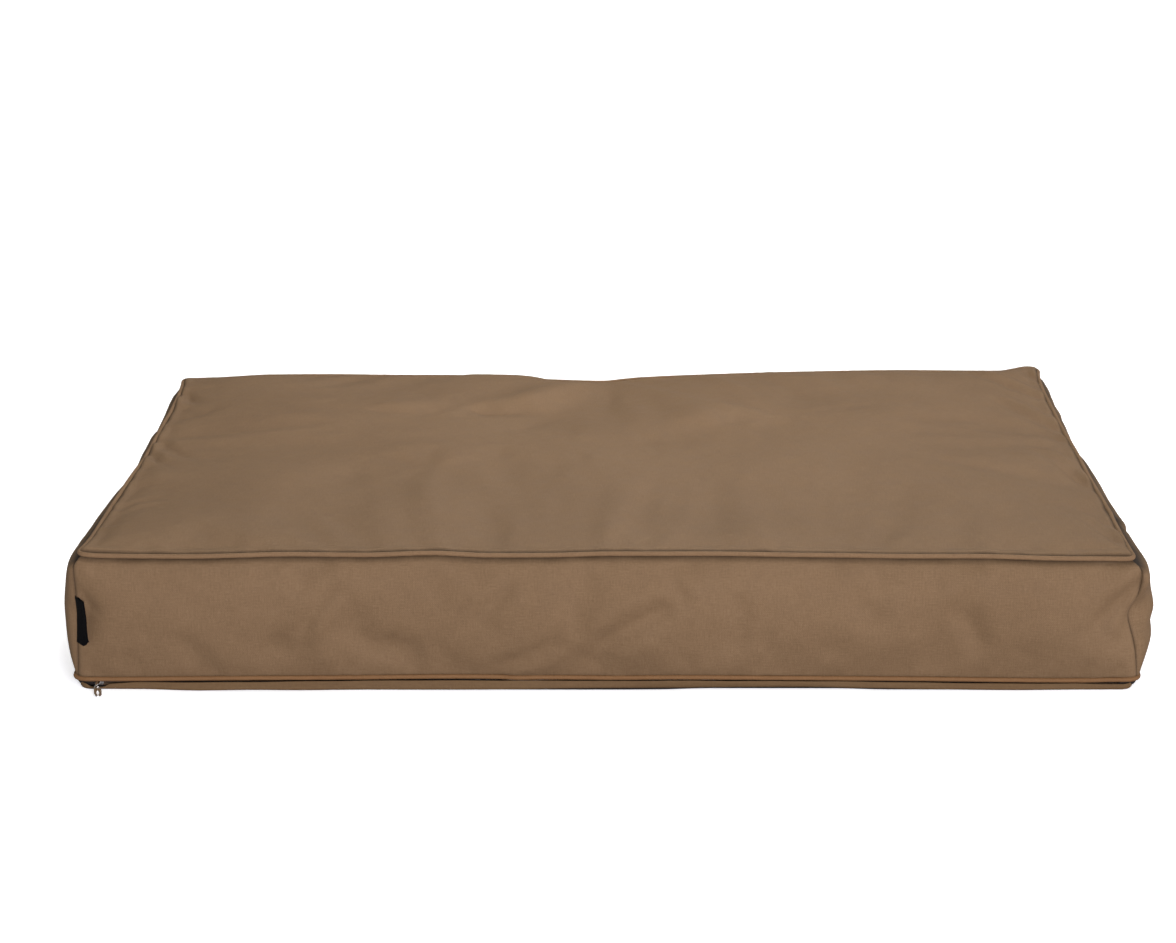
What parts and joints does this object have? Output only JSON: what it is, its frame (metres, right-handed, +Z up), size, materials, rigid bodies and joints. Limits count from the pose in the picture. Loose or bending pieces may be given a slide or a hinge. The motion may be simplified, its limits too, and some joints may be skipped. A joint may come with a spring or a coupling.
{
  "type": "pet cushion bed",
  "caption": "Rectangular box-edged pet bed cushion with piped top and bottom seams, a hidden zip along the foot of its front band and a folded side label.",
  "frame": {"origin": "on the floor under the middle of the cushion", "axes": "+X along the length, to the right seen from the zip side; -Y towards the front band and the zip; +Z up"},
  "size_m": [1.221, 0.8312, 0.176],
  "materials": {
    "cover_cloth": "matte coated taupe canvas with a fine weave",
    "piping_cloth": "matte coated taupe canvas cut on the bias",
    "base_cloth": "dark woven non-slip cloth",
    "piping_core": "twisted cotton cord",
    "zip_tape": "herringbone zip tape",
    "zip_coil": "nylon coil",
    "zip_metal": "bright nickel plate",
    "label_cloth": "black woven satin, blank",
    "care_label_cloth": "white satin tape, blank",
    "liner_cloth": "undyed ticking",
    "fill": "loose polyester fibre"
  },
  "bodies": {
    "cushion": {"top_panel": "cover_cloth", "front_band": "cover_cloth", "back_band": "cover_cloth", "left_band": "cover_cloth", "right_band": "cover_cloth", "zip_lower_facing": "cover_cloth", "base_panel": "base_cloth", "top_piping_cover": "piping_cloth", "top_piping_cord": "piping_core", "bottom_piping_cover": "piping_cloth", "bottom_piping_cord": "piping_core", "zip_tape_upper": "zip_tape", "zip_tape_lower": "zip_tape", "zip_coil_upper": "zip_coil", "zip_coil_lower": "zip_coil", "zip_top_stops": "zip_metal", "zip_bottom_stop": "zip_metal", "side_label": "label_cloth", "care_label": "care_label_cloth", "liner_top": "liner_cloth", "liner_band": "liner_cloth", "liner_base": "liner_cloth", "liner_baffle": "liner_cloth", "fill_left": "fill", "fill_right": "fill"},
    "slider": {"zip_slider": "zip_metal"},
    "pull": {"zip_pull": "zip_metal"}
  },
  "joints": [
    {"name": "zip_travel", "type": "slide", "parent": "cushion", "child": "slider", "axis": [1, 0, 0], "range_m": [0, 1.155]},
    {"name": "pull_swing", "type": "hinge", "parent": "slider", "child": "pull", "pos_m": [-0.578, -0.402, 0.0085], "axis": [0, -0.1736, 0.9848], "range_deg": [-88, 64]}
  ]
}
